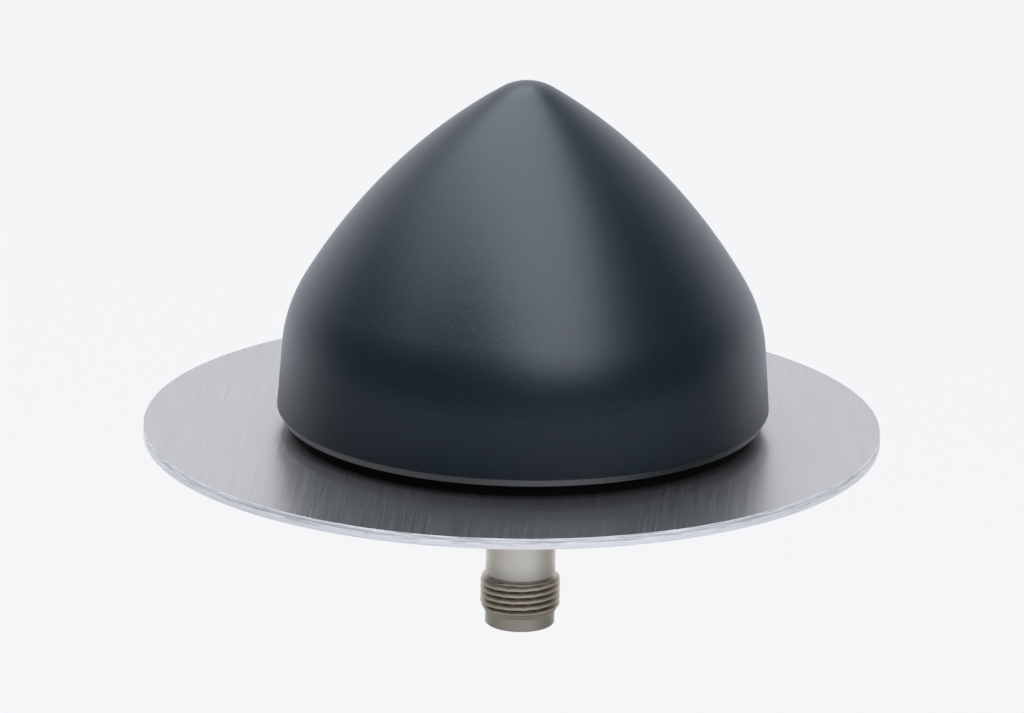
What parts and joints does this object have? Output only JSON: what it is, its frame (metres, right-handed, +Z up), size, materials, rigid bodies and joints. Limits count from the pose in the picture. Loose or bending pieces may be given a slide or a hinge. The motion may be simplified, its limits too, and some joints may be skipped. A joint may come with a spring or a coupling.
{
  "type": "gnss antenna",
  "caption": "Compact GNSS antenna: pointed dark radome on a round brushed aluminium ground plane, with a threaded coaxial jack below.",
  "frame": {"origin": "on the axis of the antenna, in the underside of the ground plane, where the stud passes through it", "axes": "+Z up the antenna's axis to the tip of the radome; the jack points down -Z; the picture looks along +Y, 17.5 degrees down"},
  "size_m": [0.1016, 0.1016, 0.0777],
  "materials": {
    "radome_plastic": "moulded ASA, satin with a fine pebble texture",
    "cast_base": "die casting, black semi-gloss coat",
    "gasket_rubber": "black EPDM sheet",
    "brushed_plate": "brushed aluminium sheet, sheared edge",
    "stainless_steel": "turned stainless steel",
    "zinc_plate": "zinc-plated steel",
    "nickel_plate": "nickel-plated turned brass",
    "ptfe": "white PTFE",
    "gold_plate": "gold-plated beryllium copper",
    "silicone_seal": "red silicone rubber",
    "circuit_laminate": "green solder mask on glass laminate",
    "patch_ceramic": "fired dielectric ceramic",
    "silver_electrode": "fired silver paste",
    "adhesive_foam": "acrylic foam tape",
    "tinned_steel": "tinned steel sheet",
    "chip_package": "black moulded package",
    "wire_sleeve": "PTFE sleeve"
  },
  "bodies": {
    "root": {"radome": "radome_plastic", "base_casting": "cast_base", "mounting_gasket": "gasket_rubber", "ground_plane": "brushed_plate", "tnc_jack_shell": "nickel_plate", "mounting_stud": "stainless_steel", "stud_seal": "silicone_seal", "stud_washer": "zinc_plate", "stud_nut": "zinc_plate", "radome_seal": "silicone_seal", "radome_screws": "stainless_steel", "jack_seal": "silicone_seal", "tnc_insulator": "ptfe", "tnc_centre_contact": "gold_plate", "circuit_board": "circuit_laminate", "board_screws": "stainless_steel", "lower_patch_adhesive": "adhesive_foam", "lower_patch": "patch_ceramic", "lower_patch_electrode": "silver_electrode", "upper_patch_adhesive": "adhesive_foam", "upper_patch": "patch_ceramic", "upper_patch_electrode": "silver_electrode", "lower_feed_pins": "gold_plate", "upper_feed_pins": "gold_plate", "shield_frame": "tinned_steel", "shield_lid": "tinned_steel", "saw_filters": "chip_package", "amplifier_chips": "chip_package", "chip_capacitors": "chip_package", "centre_lead": "tinned_steel", "lead_sleeve": "wire_sleeve"}
  },
  "joints": []
}
